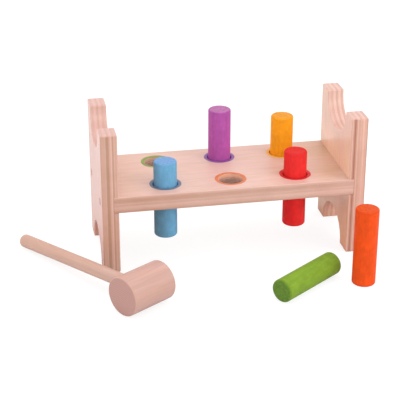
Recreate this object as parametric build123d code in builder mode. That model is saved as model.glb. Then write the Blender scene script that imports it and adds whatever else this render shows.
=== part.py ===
"""Hammer bench: two plywood end panels, a peg shelf let into them, six coloured pegs and a mallet.

The bench is the same upside down, so that pegs driven flush with the shelf can be driven back.
X runs along the bench, Y from its front (-) to its back (+) and Z up.
The origin is on the floor under the middle of the bench.  All sizes are in millimetres.
"""
from build123d import *
from math import asin, atan2, cos, hypot, radians, sin
import os

os.makedirs("parts", exist_ok=True)

# ---- Driving dimensions ----
LENGTH = 286.0          # over the outer faces of the end panels
DEPTH = 116.0           # front to back, panels and shelf alike
HEIGHT = 157.2
PLY = 18.0              # the plywood's thickness
HORN = 24.0             # front-to-back width of each foot and of each horn above it
CUT_DEPTH = 31.5        # height of the arch between the feet, and of the dip between the horns
CUT_STRAIGHT = 4.0      # upright part of the cut-out's side, before its curve
HOUSING = 5.5           # how deep the shelf is let into each panel
CORNER_R = 1.6          # panel corners, seen from the end
EASE = 1.2              # easing of the sawn edges

PEG_D = 25.0            # standard dowel
PEG_LENGTH = 86.0
PEG_EASE = 2.0
PITCH_X = 71.5          # peg hole spacing along the bench
PITCH_Y = 62.0          # and across it
HOLE_GAP = 1.1          # wood to peg, radially
RING_GAP = 0.05         # grip ring to peg, radially
RING_HEIGHT = 7.5
RING_WALL = 2.65
RING_EASE = 0.8         # rounding of both rims of the ring's bore

SCREW_D = 4.0
SCREW_LENGTH = 32.0
SCREW_HEAD_D = 7.8
SCREW_HEAD = 2.4
SCREW_HEAD_TAPER = 8.0  # degrees
SCREW_POINT = 3.6       # length of the tapered point
SCREW_POINT_TAPER = 24.0
SLOT_LENGTH = 4.4       # the cross in the head
SLOT_WIDTH = 1.0
SLOT_DEPTH = 1.5
SCREW_SINK = 4.0        # depth of the counterbore over the head
SCREW_SINK_GAP = 0.3    # counterbore to head, radially
SCREW_Y = 39.5          # distance of each screw from the bench's middle
SCREW_Z = 76.6

MALLET_D = 41.75
MALLET_LENGTH = 55.5
MALLET_EASE = 1.8
HANDLE_D = 14.5
HANDLE_OFFSET = 1.5     # from the middle of the head to the handle, towards its left end
HANDLE_REACH = 195.5    # from the head's own centre line to the handle's end
HANDLE_SOCKET = 27.0    # how deep the handle goes into the head
HANDLE_ROUND = 4.5      # rounding of the free end

# How far each seated peg stands proud of the shelf
PROUD = {"blue": 26.75, "purple": 57.25, "yellow": 44.75, "red": 27.5}

# Where the loose pieces lie: X, Y, and the direction of their length from +X, in degrees
ORANGE_PLACE = (123.5, -128.0)
GREEN_PLACE = (62.0, -128.0, 37.0)
MALLET_PLACE = (-113.0, -135.3, 34.0)

# ---- Worked out from them ----
SHELF_MID = HEIGHT / 2
DECK = SHELF_MID + PLY / 2
SHELF_LENGTH = LENGTH - 2 * (PLY - HOUSING)
PEG_R = PEG_D / 2
HOLE_R = PEG_R + HOLE_GAP
RING_BORE_R = PEG_R + RING_GAP
RING_R = RING_BORE_R + RING_WALL
CUT_HALF = DEPTH / 2 - HORN
ROW = PITCH_Y / 2
HOLES = {
    "blue": (-PITCH_X, -ROW),
    "orange": (0, -ROW),
    "red": (PITCH_X, -ROW),
    "green": (-PITCH_X, ROW),
    "purple": (0, ROW),
    "yellow": (PITCH_X, ROW),
}


def finish(part, name):
    """Names one finished piece and writes it out."""
    part.label = name
    export_step(part, f"parts/{name}.step")


def screw_planes(side, x):
    """The two screw positions of one end, looking outwards, side -1 for the left and +1 for the right."""
    return [
        Plane(origin=(side * x, y, SCREW_Z), x_dir=(0, 1, 0), z_dir=(side, 0, 0))
        for y in (-SCREW_Y, SCREW_Y)
    ]


# ---- End panels ----
def end_panel(side):
    """One end: two feet, two horns, a groove for the shelf and two counterbored screw holes."""
    with BuildPart() as panel:
        with BuildSketch(Plane.YZ.offset(side * (LENGTH - PLY) / 2)) as profile:
            with Locations((0, HEIGHT / 2)):
                Rectangle(DEPTH, HEIGHT)
            for edge, inward in ((0, 1), (HEIGHT, -1)):
                with Locations((0, edge + inward * CUT_STRAIGHT / 2)):
                    Rectangle(2 * CUT_HALF, CUT_STRAIGHT, mode=Mode.SUBTRACT)
                with Locations((0, edge + inward * CUT_STRAIGHT)):
                    Ellipse(CUT_HALF, CUT_DEPTH - CUT_STRAIGHT, mode=Mode.SUBTRACT)
            ends = profile.vertices().group_by(Axis.Y)
            fillet(ends[0] + ends[-1], radius=CORNER_R)
        extrude(amount=PLY / 2, both=True)
        fillet(panel.faces().filter_by(Axis.X).edges(), radius=EASE)
        with BuildSketch(Plane.YZ.offset(side * (LENGTH / 2 - PLY + HOUSING))):
            with Locations((0, SHELF_MID)):
                Rectangle(DEPTH, PLY)
        extrude(amount=-side * HOUSING, mode=Mode.SUBTRACT)
        with Locations(*screw_planes(side, LENGTH / 2)):
            CounterBoreHole(
                radius=SCREW_D / 2,
                counter_bore_radius=SCREW_HEAD_D / 2 + SCREW_SINK_GAP,
                counter_bore_depth=SCREW_SINK,
                depth=PLY,
            )
    return panel.part


for end_side, end_name in ((-1, "left"), (1, "right")):
    finish(end_panel(end_side), f"{end_name}_end_panel")

# ---- Peg shelf ----
with BuildPart() as peg_shelf:
    with BuildSketch(Plane.XY.offset(DECK - PLY)):
        Rectangle(SHELF_LENGTH, DEPTH)
    extrude(amount=PLY)
    fillet(peg_shelf.edges().filter_by(Axis.X), radius=EASE / 2)
    # peg holes, eased at both mouths
    with BuildSketch(Plane.XY.offset(DECK)):
        with GridLocations(PITCH_X, PITCH_Y, 3, 2):
            Circle(HOLE_R)
    extrude(amount=-PLY, mode=Mode.SUBTRACT)
    fillet(peg_shelf.edges().filter_by(GeomType.CIRCLE), radius=EASE / 2)
    # groove for the grip ring, half way down each hole
    with BuildSketch(Plane.XY.offset(SHELF_MID - RING_HEIGHT / 2)):
        with GridLocations(PITCH_X, PITCH_Y, 3, 2):
            Circle(RING_R)
    extrude(amount=RING_HEIGHT, mode=Mode.SUBTRACT)
    # pilot holes for the screws in both end faces
    for pilot_side in (-1, 1):
        with Locations(*screw_planes(pilot_side, SHELF_LENGTH / 2)):
            Hole(radius=SCREW_D / 2, depth=SCREW_LENGTH - PLY + HOUSING + SCREW_SINK)
finish(peg_shelf.part, "peg_shelf")


# ---- Grip rings ----
def grip_ring(x, y):
    """A rubber ring in the groove of one peg hole, whose bore grips the peg."""
    with BuildPart() as ring:
        with BuildSketch(Plane.XY.offset(SHELF_MID)):
            with Locations((x, y)):
                Circle(RING_R)
                Circle(RING_BORE_R, mode=Mode.SUBTRACT)
        extrude(amount=RING_HEIGHT / 2, both=True)
        bore_rims = ring.edges().filter_by(GeomType.CIRCLE).sort_by(SortBy.RADIUS)[:2]
        fillet(bore_rims, radius=RING_EASE)
    return ring.part


for colour, (hole_x, hole_y) in HOLES.items():
    finish(grip_ring(hole_x, hole_y), f"grip_ring_{colour}")


# ---- Pegs ----
def peg(middle, direction):
    """A dowel peg with eased ends, about its middle point."""
    with BuildPart() as dowel:
        with BuildSketch(Plane(origin=middle, z_dir=direction)):
            Circle(PEG_R)
        extrude(amount=PEG_LENGTH / 2, both=True)
        fillet(dowel.edges().filter_by(GeomType.CIRCLE), radius=PEG_EASE)
    return dowel.part


for colour, proud in PROUD.items():
    hole_x, hole_y = HOLES[colour]
    finish(peg((hole_x, hole_y, DECK + proud - PEG_LENGTH / 2), (0, 0, 1)), f"{colour}_peg")

finish(peg((*ORANGE_PLACE, PEG_LENGTH / 2), (0, 0, 1)), "orange_peg")

green_turn = radians(GREEN_PLACE[2])
green_direction = (cos(green_turn), sin(green_turn), 0)
finish(peg((*GREEN_PLACE[:2], PEG_R), green_direction), "green_peg")


# ---- Screws ----
def screw_pair(side):
    """The two cross-head screws of one end: head in the counterbore, shank through panel and shelf."""
    bearing = LENGTH / 2 - SCREW_SINK
    with BuildPart() as screws:
        for seat in screw_planes(side, bearing):
            with BuildSketch(seat):
                Circle(SCREW_D / 2)
            extrude(amount=-SCREW_LENGTH + SCREW_POINT)
            with BuildSketch(seat.offset(-SCREW_LENGTH + SCREW_POINT)):
                Circle(SCREW_D / 2)
            extrude(amount=-SCREW_POINT, taper=SCREW_POINT_TAPER)
            with BuildSketch(seat):
                Circle(SCREW_HEAD_D / 2)
            extrude(amount=SCREW_HEAD, taper=SCREW_HEAD_TAPER)
            for arm in ((SLOT_LENGTH, SLOT_WIDTH), (SLOT_WIDTH, SLOT_LENGTH)):
                with BuildSketch(seat.offset(SCREW_HEAD)):
                    Rectangle(*arm)
                extrude(amount=-SLOT_DEPTH, mode=Mode.SUBTRACT)
    return screws.part


for end_side, end_name in ((-1, "left"), (1, "right")):
    finish(screw_pair(end_side), f"{end_name}_screws")

# ---- Mallet ----
# It lies with its head on the floor and the rounded end of its handle resting there too.
mallet_turn = radians(MALLET_PLACE[2])
head_middle = Vector(*MALLET_PLACE[:2], MALLET_D / 2)
head_direction = Vector(cos(mallet_turn), sin(mallet_turn), 0)
round_reach = HANDLE_REACH - HANDLE_ROUND
round_offset = HANDLE_D / 2 - HANDLE_ROUND
droop = asin((MALLET_D / 2 - HANDLE_ROUND) / hypot(round_reach, round_offset))
droop -= atan2(round_offset, round_reach)
handle_direction = Vector(-sin(mallet_turn) * cos(droop), cos(mallet_turn) * cos(droop), -sin(droop))
handle_foot = head_middle - head_direction * HANDLE_OFFSET
socket_floor = handle_foot + handle_direction * (MALLET_D / 2 - HANDLE_SOCKET)
handle_plane = Plane(origin=socket_floor, x_dir=head_direction, z_dir=handle_direction)

with BuildPart() as mallet_head:
    with BuildSketch(Plane(origin=head_middle, z_dir=head_direction)):
        Circle(MALLET_D / 2)
    extrude(amount=MALLET_LENGTH / 2, both=True)
    fillet(mallet_head.edges().filter_by(GeomType.CIRCLE), radius=MALLET_EASE)
    with BuildSketch(handle_plane):
        Circle(HANDLE_D / 2)
    extrude(amount=MALLET_D, mode=Mode.SUBTRACT)
finish(mallet_head.part, "mallet_head")

with BuildPart() as mallet_handle:
    with BuildSketch(handle_plane):
        Circle(HANDLE_D / 2)
    extrude(amount=HANDLE_REACH - MALLET_D / 2 + HANDLE_SOCKET)
    free_end = mallet_handle.faces().filter_by(GeomType.PLANE).sort_by(Axis(socket_floor, handle_direction))[-1]
    fillet(free_end.edges(), radius=HANDLE_ROUND)
finish(mallet_handle.part, "mallet_handle")
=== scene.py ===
"""The looks of a toy hammer bench: plywood, stained pegs, painted hole rims and a beech mallet.

Every CAD part keeps its own mesh and gets a procedural material.  The only new pieces are the
thin films of paint around the six holes.  Metres, X along the bench, Y to the back, Z up.
"""

import math
import random

import bmesh
import bpy
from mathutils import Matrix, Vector


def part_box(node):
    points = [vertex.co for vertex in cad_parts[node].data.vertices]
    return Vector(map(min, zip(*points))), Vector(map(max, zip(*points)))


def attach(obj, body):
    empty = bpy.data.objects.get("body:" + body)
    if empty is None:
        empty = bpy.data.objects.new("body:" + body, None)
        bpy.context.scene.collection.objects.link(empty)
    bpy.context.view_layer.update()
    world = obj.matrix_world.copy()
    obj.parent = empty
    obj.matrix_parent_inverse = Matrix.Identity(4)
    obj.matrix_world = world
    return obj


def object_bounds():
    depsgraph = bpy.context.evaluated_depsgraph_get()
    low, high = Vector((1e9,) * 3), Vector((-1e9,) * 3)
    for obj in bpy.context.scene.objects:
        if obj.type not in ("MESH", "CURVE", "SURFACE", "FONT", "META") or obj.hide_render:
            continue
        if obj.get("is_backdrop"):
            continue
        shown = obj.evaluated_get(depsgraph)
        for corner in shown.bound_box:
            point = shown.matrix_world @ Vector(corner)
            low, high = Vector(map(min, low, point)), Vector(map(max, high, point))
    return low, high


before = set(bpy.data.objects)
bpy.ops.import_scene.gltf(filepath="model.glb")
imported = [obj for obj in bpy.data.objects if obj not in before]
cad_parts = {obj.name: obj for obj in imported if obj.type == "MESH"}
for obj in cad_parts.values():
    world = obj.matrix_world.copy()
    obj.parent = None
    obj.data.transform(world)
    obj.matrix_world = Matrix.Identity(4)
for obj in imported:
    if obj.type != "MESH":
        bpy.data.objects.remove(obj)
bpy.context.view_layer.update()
shelf_low, shelf_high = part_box("peg_shelf")
scene = bpy.context.scene

MM = 0.001

# ---------------------------------------------------------------- camera and light

CAMERA_PLACE = (-0.268426, -1.267668, 0.643172)
CAMERA_PITCH = -24.669
CAMERA_YAW = -10.749
CAMERA_LENS = 115.22

camera = bpy.data.objects.new("camera", bpy.data.cameras.new("camera"))
camera.data.lens = CAMERA_LENS
camera.data.sensor_width = 36.0
camera.location = CAMERA_PLACE
camera.rotation_euler = (math.radians(90 + CAMERA_PITCH), 0.0, math.radians(CAMERA_YAW))
scene.collection.objects.link(camera)
scene.camera = camera

# name, place, what it faces, size, power in watts
SOFTBOXES = (
    ("top_box", (0.15, 0.25, 1.6), (0.0, 0.0, 0.05), (1.5, 1.2), 6.8),
    ("left_box", (-1.5, -0.5, 0.8), (0.0, 0.0, 0.08), (1.0, 1.0), 1.6),
    ("right_box", (1.15, -0.85, 1.05), (0.0, 0.0, 0.08), (0.7, 0.7), 7.3),
)
AMBIENT = 1.11          # even light from all round

for name, place, aim, size, power in SOFTBOXES:
    light = bpy.data.lights.new(name, "AREA")
    light.shape = "RECTANGLE"
    light.size, light.size_y = size
    light.energy = power
    lamp = bpy.data.objects.new(name, light)
    lamp.location = place
    lamp.rotation_euler = (Vector(aim) - Vector(place)).to_track_quat("-Z", "Y").to_euler()
    scene.collection.objects.link(lamp)

world = bpy.data.worlds.new("studio")
world.use_nodes = True
world.node_tree.nodes["Background"].inputs["Color"].default_value = (1.0, 1.0, 1.0, 1.0)
world.node_tree.nodes["Background"].inputs["Strength"].default_value = AMBIENT
scene.world = world
scene.view_settings.view_transform = "Standard"


# ---------------------------------------------------------------- node building

class Graph:
    """A material's node tree, with one short call for each kind of node used here."""

    def __init__(self, name):
        self.material = bpy.data.materials.new(name)
        self.material.use_nodes = True
        self.tree = self.material.node_tree
        self.shader = self.tree.nodes["Principled BSDF"]
        texture_place = self.tree.nodes.new("ShaderNodeTexCoord")
        self.place = texture_place.outputs["Object"]
        self.facing = texture_place.outputs["Normal"]

    def feed(self, socket, value):
        if isinstance(value, bpy.types.NodeSocket):
            self.tree.links.new(value, socket)
        elif isinstance(value, (int, float)) and socket.type in ("RGBA", "VECTOR"):
            length = len(socket.default_value)
            socket.default_value = (value, value, value, 1.0)[:length]
        elif socket.type == "RGBA" and len(value) == 3:
            socket.default_value = (*value, 1.0)
        else:
            socket.default_value = value

    def math(self, operation, a, b=0.0):
        node = self.tree.nodes.new("ShaderNodeMath")
        node.operation = operation
        self.feed(node.inputs[0], a)
        self.feed(node.inputs[1], b)
        return node.outputs[0]

    def vector(self, operation, a, b=(0.0, 0.0, 0.0)):
        node = self.tree.nodes.new("ShaderNodeVectorMath")
        node.operation = operation
        self.feed(node.inputs[0], a)
        self.feed(node.inputs["Scale" if operation == "SCALE" else 1], b)
        return node.outputs["Value" if operation in ("DOT_PRODUCT", "LENGTH") else "Vector"]

    def split(self, vector):
        node = self.tree.nodes.new("ShaderNodeSeparateXYZ")
        self.feed(node.inputs[0], vector)
        return node.outputs

    def noise(self, at, scale, detail=2.0, roughness=0.5, distortion=0.0):
        node = self.tree.nodes.new("ShaderNodeTexNoise")
        self.feed(node.inputs["Vector"], at)
        self.feed(node.inputs["Scale"], scale)
        self.feed(node.inputs["Detail"], detail)
        self.feed(node.inputs["Roughness"], roughness)
        self.feed(node.inputs["Distortion"], distortion)
        return node.outputs["Fac"]

    def spread(self, value, low, high, to_low=0.0, to_high=1.0, smooth=True):
        """Maps value from low..high to to_low..to_high, held at its ends."""
        node = self.tree.nodes.new("ShaderNodeMapRange")
        node.interpolation_type = "SMOOTHSTEP" if smooth else "LINEAR"
        for socket, number in zip(node.inputs, (value, low, high, to_low, to_high)):
            self.feed(socket, number)
        return node.outputs[0]

    def blend(self, share, a, b, mode="MIX"):
        node = self.tree.nodes.new("ShaderNodeMix")
        node.data_type = "RGBA"
        node.blend_type = mode
        self.feed(node.inputs["Factor"], share)
        self.feed(node.inputs[6], a)
        self.feed(node.inputs[7], b)
        return node.outputs[2]

    def steps(self, value, stops):
        """A curve through (position, level) stops, as a grey value."""
        node = self.tree.nodes.new("ShaderNodeValToRGB")
        ramp = node.color_ramp
        while len(ramp.elements) < len(stops):
            ramp.elements.new(0.5)
        for element, (position, level) in zip(ramp.elements, stops):
            element.position = position
            element.color = (level, level, level, 1.0)
        self.feed(node.inputs[0], value)
        return node.outputs[0]

    def bump(self, height, distance, strength=1.0):
        node = self.tree.nodes.new("ShaderNodeBump")
        self.feed(node.inputs["Strength"], strength)
        self.feed(node.inputs["Distance"], distance)
        self.feed(node.inputs["Height"], height)
        return node.outputs[0]

    def finish(self, colour, roughness, normal, coat=0.0, coat_roughness=0.3, specular=0.5):
        self.feed(self.shader.inputs["Base Color"], colour)
        self.feed(self.shader.inputs["Roughness"], roughness)
        self.feed(self.shader.inputs["Normal"], normal)
        self.shader.inputs["Coat Weight"].default_value = coat
        self.shader.inputs["Coat Roughness"].default_value = coat_roughness
        self.shader.inputs["Specular IOR Level"].default_value = specular
        return self.material


def along_grain(g, axis, factor):
    """Coordinates squeezed along the unit vector axis, so that noise in them runs with the grain."""
    run = g.vector("DOT_PRODUCT", g.place, axis)
    shift = g.vector("SCALE", axis, g.math("MULTIPLY", run, factor - 1.0))
    return g.vector("ADD", g.place, shift)


def mottled(g, base, amount, share, low=0.3, high=0.7):
    """base made lighter and darker by amount, as share goes from low to high."""
    level = g.spread(share, low, high, 1.0 - amount, 1.0 + amount, smooth=False)
    return g.vector("SCALE", base, level)


# ---------------------------------------------------------------- plywood

AXES = ((1.0, 0.0, 0.0), (0.0, 1.0, 0.0), (0.0, 0.0, 1.0))

# Each ply as (where it ends, tone), from the outer face (0) to the inner one (1), or from the
# underside to the deck.  Tone 1 is pale long grain and 0 is dark end grain.
LEFT_PLIES = ((0.07, 0.48), (0.24, 0.54), (0.33, 0.62), (0.42, 0.06), (0.50, 0.10), (0.58, 0.62),
              (0.68, 0.90), (0.76, 0.20), (0.86, 0.66), (0.94, 0.56), (1.00, 1.00))
RIGHT_PLIES = ((0.06, 0.06), (0.20, 0.70), (0.34, 0.84), (0.50, 0.68), (0.58, 0.56), (0.67, 0.78),
               (0.74, 0.42), (0.83, 0.02), (0.90, 0.40), (1.00, 0.86))
SHELF_PLIES = ((0.07, 0.26), (0.16, 0.50), (0.25, 0.72), (0.42, 0.84), (0.50, 0.62), (0.60, 0.70),
               (0.68, 0.52), (0.84, 0.42), (0.93, 0.66), (1.00, 1.00))
# The same plies where a cut crosses the faces' grain, as on the horns' tops and in the arches
CROSSED_PLIES = ((0.08, 0.78), (0.20, 0.58), (0.38, 0.88), (0.52, 0.56), (0.68, 0.88), (0.84, 0.64),
                 (1.00, 0.80))
GLUE_LINE = 0.012       # half the width of a glue line, as a share of the thickness
# Tints of the edges: on the tops, in the dips and bores, and painted shade in the arches under the shelf
TOP_TINT = (0.90, 0.94, 0.96)
CUT_TINT = (1.07, 1.25, 1.29)
ARCH_PAINTED_SHADE = (1.00, 0.84, 0.74)


def ply_tones(plies):
    """Ramp stops that hold each ply's tone and turn quickly at each glue line."""
    stops = [(0.0, plies[0][1])]
    for (end, tone), (_, following) in zip(plies, plies[1:]):
        stops += [(end - GLUE_LINE, tone), (end + GLUE_LINE, following)]
    return stops + [(1.0, plies[-1][1])]


def glue_lines(plies):
    """Ramp stops that peak at each glue line."""
    stops = [(0.0, 0.0)]
    for end, _ in plies[:-1]:
        stops += [(end - GLUE_LINE, 0.0), (end, 1.0), (end + GLUE_LINE, 0.0)]
    return stops


def plywood(name, node, through, grain, outer, plies, tints, pale, tan, deep, sawn, coat,
            coat_roughness, painted_light_slope=0.0):
    """Plywood with its plies stacked along the axis through and its faces' grain along grain.

    outer is the side of the outer face: -1 or 1 along through.  pale and tan are the veneer's
    two tones, deep is the end grain's, and sawn tints the edges.  Each of tints is (side, ramps,
    colour): the veneer on that side takes on that colour as each ramp's axis goes from one place
    to the other; many of them are painted light and shade.  lean is painted light: it makes the
    edges paler towards the far end of the grain.
    """
    g = Graph(name)
    cross = 3 - through - grain
    place = g.split(g.place)
    facing = g.split(g.facing)
    low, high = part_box(node)
    ends = sorted((low[through], high[through]), reverse=outer > 0)
    reach = high[cross]

    wander = g.noise(along_grain(g, AXES[grain], 0.2), 45.0)
    depth = g.spread(place[through], *ends, smooth=False)
    depth = g.math("ADD", depth, g.spread(wander, 0.0, 1.0, -0.015, 0.015, smooth=False))
    on_face = g.spread(g.math("ABSOLUTE", facing[through]), 0.80, 0.97)
    on_top = g.spread(g.math("ABSOLUTE", facing[grain]), 0.35, 0.85)
    in_cut = g.spread(g.math("ABSOLUTE", place[cross]), reach - 1.0 * MM, reach - 3.0 * MM)
    on_crossed = g.math("MAXIMUM", on_top, in_cut)

    # The veneer: broad pink and cream bands, soft figure, fine fibres and small dark flecks.
    bands = g.noise(along_grain(g, AXES[grain], 0.07), 150.0, 2.0, 0.5, 0.4)
    figure = g.noise(along_grain(g, AXES[grain], 0.12), 330.0, 3.0, 0.55, 0.9)
    fibres = g.noise(along_grain(g, AXES[grain], 0.045), 1400.0, 3.0, 0.6)
    flecks = g.spread(g.noise(along_grain(g, AXES[grain], 0.16), 800.0, 1.0), 0.66, 0.78)
    patches = g.noise(g.place, 17.0)
    cream = g.math("ADD", g.math("MULTIPLY", bands, 0.7), g.math("MULTIPLY", patches, 0.3))
    veneer = g.blend(g.spread(cream, 0.42, 0.58), pale, tan)
    veneer = mottled(g, veneer, 0.055, figure)
    veneer = mottled(g, veneer, 0.03, fibres, 0.25, 0.75)
    veneer = g.blend(g.math("MULTIPLY", flecks, 0.16), veneer, deep)
    waver = g.spread(patches, 0.3, 0.7, -8.0 * MM, 8.0 * MM)
    # Tints of the veneer; many of them are painted light and shade.
    for side, ramps, tint in tints:
        share = g.spread(facing[through], 0.0, side)
        for axis, start, stop in ramps:
            share = g.math("MULTIPLY", share, g.spread(g.math("ADD", place[axis], waver), start, stop))
        veneer = g.blend(share, veneer, tint, mode="MULTIPLY")

    # The edges: every other ply shows its end grain, darker and streaked along the ply.
    streaks = g.noise(along_grain(g, AXES[grain], 0.05), 650.0, 3.0, 0.6)
    cells = g.noise(along_grain(g, AXES[cross], 0.3), 1500.0)
    uneven = g.noise(g.place, 60.0)
    tone = g.blend(on_crossed, g.steps(depth, ply_tones(plies)), g.steps(depth, ply_tones(CROSSED_PLIES)))
    tone = g.math("ADD", tone, g.spread(streaks, 0.0, 1.0, -0.22, 0.22, smooth=False))
    tone = g.math("ADD", tone, g.spread(uneven, 0.0, 1.0, -0.17, 0.17, smooth=False))
    # painted light: the edges grow paler towards the far end of the grain by lean
    tone = g.math("ADD", tone, g.spread(place[grain], low[grain], high[grain], -painted_light_slope, painted_light_slope))
    edge = g.blend(g.spread(tone, 0.0, 1.0, smooth=False), deep, pale)
    edge = mottled(g, edge, 0.05, cells)
    glue = g.math("MULTIPLY", g.steps(depth, glue_lines(plies)), g.spread(streaks, 0.3, 0.7, 0.05, 0.40))
    edge = g.blend(glue, edge, g.vector("SCALE", deep, 0.80))
    edge = g.vector("MULTIPLY", edge, g.blend(on_top, g.blend(in_cut, sawn, CUT_TINT), TOP_TINT))
    # painted shade on the edges in the arches under the shelf
    arch_shade_share = g.math("MULTIPLY", in_cut, g.spread(place[2], shelf_low.z, shelf_low.z - 15.0 * MM))
    edge = g.blend(arch_shade_share, edge, ARCH_PAINTED_SHADE, mode="MULTIPLY")

    colour = g.blend(on_face, edge, veneer)
    rough = g.spread(fibres, 0.2, 0.8, 0.38, 0.50)
    height = g.math("ADD", g.math("MULTIPLY", fibres, 0.6), g.math("MULTIPLY", tone, 0.3))
    return g.finish(colour, rough, g.bump(height, 0.12 * MM, 0.5), coat=coat,
                    coat_roughness=coat_roughness)


# ---------------------------------------------------------------- stained pegs and beech

def stained(name, side, end, deep, flank_shade, axis, bottom, top):
    """A turned peg soaked in stain, so that its grain and its end grain show through.

    bottom and top are where its two ends lie along axis.  flank is painted shade: it darkens the
    edge of the peg's left side, and more of that side below the shelf.
    """
    g = Graph(name)
    run = g.vector("DOT_PRODUCT", g.place, axis)
    on_end = g.spread(g.math("ABSOLUTE", g.vector("DOT_PRODUCT", g.facing, axis)), 0.70, 0.95)
    grain = g.noise(along_grain(g, axis, 0.07), 420.0, 3.0, 0.6, 0.4)
    pores = g.spread(g.noise(along_grain(g, axis, 0.10), 1100.0), 0.60, 0.74)
    cloud = g.noise(g.place, 75.0, 3.0, 0.6)
    blotches = g.noise(along_grain(g, axis, 0.55), 230.0, 2.0, 0.6)
    colour = mottled(g, side, 0.07, cloud)
    colour = mottled(g, colour, 0.075, blotches)
    colour = mottled(g, colour, 0.05, grain)
    colour = g.blend(g.math("MULTIPLY", pores, 0.16), colour, deep)
    # Painted shade: the left side is darkened towards flank, over more of it below the shelf.
    level = g.math("ADD", g.split(g.place)[2], g.spread(cloud, 0.3, 0.7, -3.0 * MM, 3.0 * MM))
    turn = g.spread(level, shelf_low.z + 3.0 * MM, shelf_low.z - 7.0 * MM, -0.45, 0.55)
    on_flank = g.spread(g.math("SUBTRACT", turn, g.split(g.facing)[0]), 0.0, 1.0)
    colour = g.blend(on_flank, colour, flank_shade, mode="MULTIPLY")
    cells = g.noise(g.place, 1300.0)
    chips = g.noise(g.place, 420.0, 3.0, 0.6)
    face = mottled(g, end, 0.10, cells)
    face = mottled(g, face, 0.19, chips)
    colour = g.blend(on_end, colour, face)
    # Stain soaks in deeper at the rims, in uneven patches.
    rim = g.math("MAXIMUM", g.spread(run, bottom + 2.8 * MM, bottom + 0.8 * MM),
                 g.spread(run, top - 2.8 * MM, top - 0.8 * MM))
    soaked = g.math("MULTIPLY", rim, g.spread(blotches, 0.35, 0.65, 0.15, 0.60))
    colour = g.blend(g.math("MULTIPLY", soaked, g.math("SUBTRACT", 1.0, on_end)), colour, deep)
    rough = g.spread(cloud, 0.2, 0.8, 0.46, 0.60)
    height = g.math("SUBTRACT", grain, g.math("MULTIPLY", pores, 0.5))
    height = g.blend(on_end, height, g.math("MULTIPLY", chips, 2.0))
    return g.finish(colour, rough, g.bump(height, 0.15 * MM, 0.5), specular=0.10)


def beech(name, axis, middle, pale, tan, end, rim):
    """Bare beech under a thin lacquer: straight grain with short dark flecks."""
    g = Graph(name)
    facing_end = g.math("ABSOLUTE", g.vector("DOT_PRODUCT", g.facing, axis))
    on_end = g.spread(facing_end, 0.70, 0.95)
    bands = g.noise(along_grain(g, axis, 0.06), 150.0, 3.0, 0.55, 0.6)
    fibres = g.noise(along_grain(g, axis, 0.05), 1000.0, 3.0, 0.6)
    flecks = g.spread(g.noise(along_grain(g, axis, 0.16), 800.0, 1.0), 0.64, 0.76)
    patches = g.noise(along_grain(g, axis, 0.4), 28.0)
    colour = g.blend(g.spread(patches, 0.35, 0.65), pale, tan)
    colour = mottled(g, colour, 0.07, bands)
    colour = mottled(g, colour, 0.04, fibres, 0.25, 0.75)
    colour = g.blend(g.math("MULTIPLY", flecks, 0.25), colour, end)
    # Growth rings on the ends, centred outside the piece
    offset = g.vector("SUBTRACT", g.place, tuple(middle))
    across = g.vector("SUBTRACT", offset, g.vector("SCALE", axis, g.vector("DOT_PRODUCT", offset, axis)))
    pith = g.vector("LENGTH", g.vector("ADD", across, (0.012, 0.0, 0.055)))
    ring = g.math("SINE", g.math("MULTIPLY", pith, 2 * math.pi / (2.4 * MM)))
    cells = g.noise(g.place, 1400.0)
    face = mottled(g, end, 0.05, ring, -1.0, 1.0)
    face = mottled(g, face, 0.07, cells)
    # painted highlight: the eased edges between the sides and the ends are tinted towards rim
    on_rim_highlight = g.math("MULTIPLY", g.spread(facing_end, 0.10, 0.45), g.spread(facing_end, 0.90, 0.60))
    colour = g.blend(on_end, colour, face)
    colour = g.blend(g.math("MULTIPLY", on_rim_highlight, 0.6), colour, rim)
    rough = g.spread(fibres, 0.2, 0.8, 0.42, 0.55)
    return g.finish(colour, rough, g.bump(fibres, 0.12 * MM, 0.5), coat=0.08, coat_roughness=0.3)


# ---------------------------------------------------------------- paint, rubber, steel and floor

def paint(name, colour, thin, bore, deck):
    """A thin coat brushed on around a hole at the height deck, and another tone down in its bore."""
    g = Graph(name)
    grain = g.noise(along_grain(g, AXES[0], 0.08), 700.0, 3.0, 0.6)
    cloud = g.noise(g.place, 120.0)
    cover = g.math("ADD", g.math("MULTIPLY", grain, 0.5), g.math("MULTIPLY", cloud, 0.5))
    tint = g.blend(g.spread(cover, 0.35, 0.65), thin, colour)
    level = g.math("ADD", g.split(g.place)[2], g.spread(cloud, 0.3, 0.7, -0.25 * MM, 0.25 * MM))
    below = g.spread(level, deck, deck - 0.8 * MM)
    tint = g.blend(below, tint, mottled(g, bore, 0.08, grain))
    return g.finish(tint, g.spread(cloud, 0.2, 0.8, 0.42, 0.58), g.bump(grain, 0.1 * MM, 0.5), specular=0.25)


def rubber(name):
    """Matt tan rubber with a little dust."""
    g = Graph(name)
    dust = g.noise(g.place, 260.0, 3.0)
    colour = g.blend(g.spread(dust, 0.35, 0.70), (0.34, 0.20, 0.16), (0.46, 0.28, 0.23))
    return g.finish(colour, g.spread(dust, 0.2, 0.8, 0.60, 0.80), g.bump(dust, 0.2 * MM, 0.4))


def steel(name):
    """Dulled zinc plating."""
    g = Graph(name)
    wear = g.noise(g.place, 900.0, 3.0)
    colour = g.blend(g.spread(wear, 0.35, 0.65), (0.17, 0.16, 0.15), (0.33, 0.32, 0.31))
    g.shader.inputs["Metallic"].default_value = 0.9
    return g.finish(colour, g.spread(wear, 0.2, 0.8, 0.35, 0.60), g.bump(wear, 0.05 * MM, 0.5))


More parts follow.
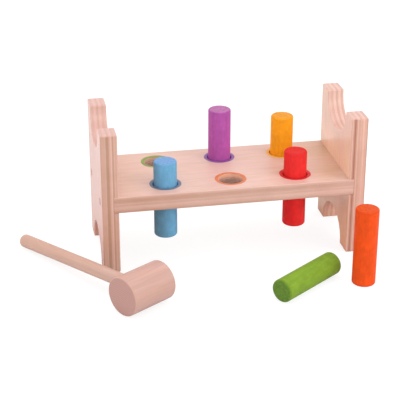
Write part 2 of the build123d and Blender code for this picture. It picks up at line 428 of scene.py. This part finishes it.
def studio_floor(name, shade, glow):
    """A pale table of grey level shade that glows evenly, which keeps the shadows on it faint."""
    g = Graph(name)
    cloud = g.noise(g.place, 3.0)
    colour = g.blend(cloud, (shade - 0.01,) * 3, (shade + 0.01,) * 3)
    g.shader.inputs["Emission Color"].default_value = (1.0, 1.0, 1.0, 1.0)
    g.shader.inputs["Emission Strength"].default_value = glow
    return g.finish(colour, g.spread(cloud, 0.2, 0.8, 0.65, 0.75), g.bump(cloud, 0.1 * MM, 0.1))


# ---------------------------------------------------------------- dressing the CAD parts

def dress(node, material):
    """The CAD part's own mesh, shown with material."""
    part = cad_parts[node]
    if not part.material_slots:
        part.data.materials.append(None)
    for place in part.material_slots:
        place.link = "OBJECT"
        place.material = material


# Where the veneer changes tone, each as (side, ramps, colour) for plywood.  Many of these are
# painted light and shade, so they stay put when the light changes.
LEFT_TINTS_AND_PAINTED_SHADE = (
    # the outer face is warmer below the horns, and darker there with painted shade
    (-1, ((2, 0.150, 0.110),), (0.94, 0.79, 0.76)),
)
RIGHT_PAINTED_LIGHT_AND_SHADE = (
    # painted light makes the inner face paler and honey coloured towards the deck, and painted
    # shade makes it browner and darker under the shelf, most of all at the back
    (-1, ((2, 0.135, 0.085),), (1.19, 1.34, 1.24)),
    (-1, ((2, shelf_low.z + 6 * MM, shelf_low.z - 9 * MM),), (0.765, 0.44, 0.25)),
    (-1, ((2, shelf_low.z + 6 * MM, shelf_low.z - 9 * MM), (1, 0.010, 0.050)), (0.76, 0.72, 0.68)),
    # painted shade darkens the back corner over the deck; painted light pales the feet again
    (-1, ((2, shelf_high.z + 16 * MM, shelf_high.z + 2 * MM), (1, 0.015, 0.050)), (0.89, 0.85, 0.78)),
    (-1, ((2, 0.060, 0.030),), (1.25, 1.56, 2.00)),
    # painted shade makes the outer face darker downwards
    (1, ((2, 0.190, 0.060),), (0.80, 0.81, 0.81)),
)
SHELF_TINTS_AND_PAINTED_SHADE = (
    # the deck is tan at the right behind its front edge, with painted shade from the right panel
    # there as well; painted shade darkens the right back corner; the deck is peach at the left
    (1, ((0, 0.060, 0.125), (1, -0.052, -0.026)), (0.96, 0.90, 0.72)),
    (1, ((0, 0.105, 0.132), (1, 0.010, 0.040)), (0.83, 0.80, 0.77)),
    (1, ((0, -0.080, -0.120),), (1.00, 0.98, 0.91)),
)

dress("left_end_panel", plywood(
    "left_plywood", "left_end_panel", 0, 2, -1, LEFT_PLIES, LEFT_TINTS_AND_PAINTED_SHADE,
    pale=(0.692, 0.368, 0.312), tan=(0.665, 0.372, 0.290), deep=(0.420, 0.200, 0.130),
    sawn=(0.97, 1.06, 1.00), coat=0.6, coat_roughness=0.24))
dress("right_end_panel", plywood(
    "right_plywood", "right_end_panel", 0, 2, 1, RIGHT_PLIES, RIGHT_PAINTED_LIGHT_AND_SHADE,
    pale=(0.745, 0.422, 0.340), tan=(0.715, 0.442, 0.318), deep=(0.360, 0.125, 0.072),
    sawn=(1.00, 1.035, 1.00), coat=0.6, coat_roughness=0.24))
dress("peg_shelf", plywood(
    "shelf_plywood", "peg_shelf", 2, 0, -1, SHELF_PLIES, SHELF_TINTS_AND_PAINTED_SHADE,
    pale=(0.626, 0.388, 0.333), tan=(0.592, 0.381, 0.298), deep=(0.390, 0.197, 0.129),
    sawn=(1.07, 1.06, 1.02), coat=0.2, coat_roughness=0.42, painted_light_slope=0.15))

# side, end grain and pores of each peg, and the painted shade on its left side
STAINS = {
    "blue": ((0.146, 0.370, 0.576), (0.148, 0.288, 0.515), (0.075, 0.210, 0.370), (0.78, 0.69, 0.64)),
    "purple": ((0.424, 0.093, 0.366), (0.370, 0.123, 0.287), (0.250, 0.040, 0.220), (1.0, 1.0, 0.95)),
    "yellow": ((0.890, 0.350, 0.014), (0.640, 0.246, 0.014), (0.650, 0.190, 0.004), (1.0, 1.0, 1.0)),
    "red": ((0.745, 0.028, 0.026), (0.565, 0.011, 0.009), (0.500, 0.010, 0.008), (0.93, 0.66, 0.72)),
    "orange": ((0.738, 0.071, 0.007), (0.590, 0.064, 0.006), (0.520, 0.034, 0.004), (1.0, 1.0, 1.0)),
    "green": ((0.181, 0.300, 0.026), (0.106, 0.202, 0.026), (0.095, 0.175, 0.012), (1.0, 1.0, 1.0)),
}
GREEN_TURN = math.radians(37)
UPRIGHT = (0.0, 0.0, 1.0)
LYING = (math.cos(GREEN_TURN), math.sin(GREEN_TURN), 0.0)

peg_low, peg_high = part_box("orange_peg")
half_peg = (peg_high.z - peg_low.z) / 2
for colour_name, (side, end, deep, flank_shade) in STAINS.items():
    low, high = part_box(f"{colour_name}_peg")
    axis = LYING if colour_name == "green" else UPRIGHT
    middle = ((low + high) / 2).dot(Vector(axis))
    dress(f"{colour_name}_peg", stained(f"{colour_name}_stain", side, end, deep, flank_shade, axis,
                                        middle - half_peg, middle + half_peg))
    dress(f"grip_ring_{colour_name}", rubber(f"{colour_name}_rubber"))

MALLET_TURN, DROOP = math.radians(34), math.radians(4.093)
HEAD_AXIS = (math.cos(MALLET_TURN), math.sin(MALLET_TURN), 0.0)
HANDLE_AXIS = (-math.sin(MALLET_TURN) * math.cos(DROOP), math.cos(MALLET_TURN) * math.cos(DROOP),
               -math.sin(DROOP))
head_low, head_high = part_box("mallet_head")
handle_low, handle_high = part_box("mallet_handle")
# the last colour of each is a painted highlight along the eased edges
dress("mallet_head", beech("head_beech", HEAD_AXIS, (head_low + head_high) / 2,
                           (0.514, 0.302, 0.261), (0.498, 0.284, 0.221), (0.452, 0.239, 0.203),
                           (0.560, 0.330, 0.225)))
dress("mallet_handle", beech("handle_beech", HANDLE_AXIS, (handle_low + handle_high) / 2,
                             (0.568, 0.352, 0.286), (0.540, 0.318, 0.238), (0.430, 0.245, 0.185),
                             (0.590, 0.340, 0.240)))
for side_name in ("left", "right"):
    dress(f"{side_name}_screws", steel(f"{side_name}_zinc"))

# ---------------------------------------------------------------- paint around the holes

# full and thin colour of each rim, and the colour down in its bore
RIM_PAINT = {
    "blue": ((0.162, 0.180, 0.225), (0.117, 0.138, 0.180), (0.040, 0.330, 0.800)),
    "purple": ((0.260, 0.119, 0.332), (0.197, 0.084, 0.256), (0.450, 0.060, 0.620)),
    "yellow": ((0.740, 0.390, 0.075), (0.670, 0.310, 0.045), (0.850, 0.380, 0.025)),
    "red": ((0.590, 0.018, 0.024), (0.510, 0.013, 0.018), (0.880, 0.025, 0.040)),
    "orange": ((0.590, 0.180, 0.072), (0.520, 0.136, 0.046), (0.800, 0.425, 0.295)),
    "green": ((0.226, 0.297, 0.063), (0.174, 0.238, 0.044), (0.620, 0.400, 0.290)),
}
RIM_OUTER = 17.25 * MM
BORE = 13.6 * MM
MOUTH = 0.6 * MM        # easing of the bore's mouth
PAINTED_DEPTH = 4.7 * MM
FILM = 0.10 * MM
RIM_SEGMENTS = 144


def paint_ring(name, centre, deck, seed):
    """A film of paint with a slightly wavering rim, on the deck and down into the mouth of the bore."""
    draw = random.Random(seed)
    waves = [(k, draw.uniform(0.0, 0.10) * MM, draw.uniform(0.0, 6.283)) for k in (2, 3, 5, 8, 13)]
    inside = BORE - FILM
    # radius, height over the deck, and how much of the wavering each row takes along and down
    section = [(RIM_OUTER, -0.03 * FILM, 1.0, 0.0), (RIM_OUTER - 0.08 * MM, 0.7 * FILM, 1.0, 0.0),
               (RIM_OUTER - 0.25 * MM, FILM, 1.0, 0.0), (BORE + MOUTH, FILM, 0.0, 0.0)]
    for step in range(1, 5):
        turn = math.radians(90 * step / 4)
        section.append((BORE + MOUTH - (MOUTH + FILM) * math.sin(turn),
                        -MOUTH + (MOUTH + FILM) * math.cos(turn), 0.0, 0.0))
    section += [(inside, -0.7 * PAINTED_DEPTH, 0.0, 0.3), (inside, -PAINTED_DEPTH, 0.0, 1.0),
                (BORE + 0.02 * MM, -PAINTED_DEPTH - FILM, 0.0, 1.0)]
    mesh = bmesh.new()
    rows = []
    for radius, height, along, down in section:
        row = []
        for k in range(RIM_SEGMENTS):
            angle = 2 * math.pi * k / RIM_SEGMENTS
            waver = sum(size * math.sin(n * angle + start) for n, size, start in waves)
            reach = radius + along * waver
            row.append(mesh.verts.new((centre[0] + reach * math.cos(angle),
                                       centre[1] + reach * math.sin(angle),
                                       deck + height + down * waver)))
        rows.append(row)
    for outer, inner in zip(rows, rows[1:]):
        for k in range(RIM_SEGMENTS):
            n = (k + 1) % RIM_SEGMENTS
            mesh.faces.new((inner[k], outer[k], outer[n], inner[n])).smooth = True
    bmesh.ops.recalc_face_normals(mesh, faces=mesh.faces)
    data = bpy.data.meshes.new(name)
    mesh.to_mesh(data)
    mesh.free()
    ring = bpy.data.objects.new(name, data)
    scene.collection.objects.link(ring)
    return ring


for number, (colour_name, (full, thin, bore)) in enumerate(RIM_PAINT.items()):
    low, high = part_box(f"grip_ring_{colour_name}")
    centre = ((low.x + high.x) / 2, (low.y + high.y) / 2)
    ring = paint_ring(f"{colour_name}_hole_paint", centre, shelf_high.z, number + 1)
    ring.data.materials.append(paint(f"{colour_name}_paint", full, thin, bore, shelf_high.z))
    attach(ring, "bench")

# ---------------------------------------------------------------- floor

def floor_sheet(name, height, material):
    """A wide flat sheet at height, staged so that it isn't part of the object."""
    mesh = bmesh.new()
    bmesh.ops.create_grid(mesh, x_segments=8, y_segments=8, size=6.0)
    data = bpy.data.meshes.new(name)
    mesh.to_mesh(data)
    mesh.free()
    data.materials.append(material)
    sheet = bpy.data.objects.new(name, data)
    sheet.location.z = height
    scene.collection.objects.link(sheet)
    sheet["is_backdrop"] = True
    return sheet


# The floor that is seen is nearly white, and the one just under it gives the light that the
# floor throws back on the object.
seen_floor = floor_sheet("seen_floor", 0.0, studio_floor("floor_white", 0.20, 0.82))
seen_floor.visible_diffuse = False
seen_floor.visible_glossy = False
seen_floor.visible_shadow = False
bounce_floor = floor_sheet("bounce_floor", -0.2 * MM, studio_floor("floor_grey", 0.78, 0.0))
bounce_floor.visible_camera = False

# ---------------------------------------------------------------- size

low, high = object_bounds()
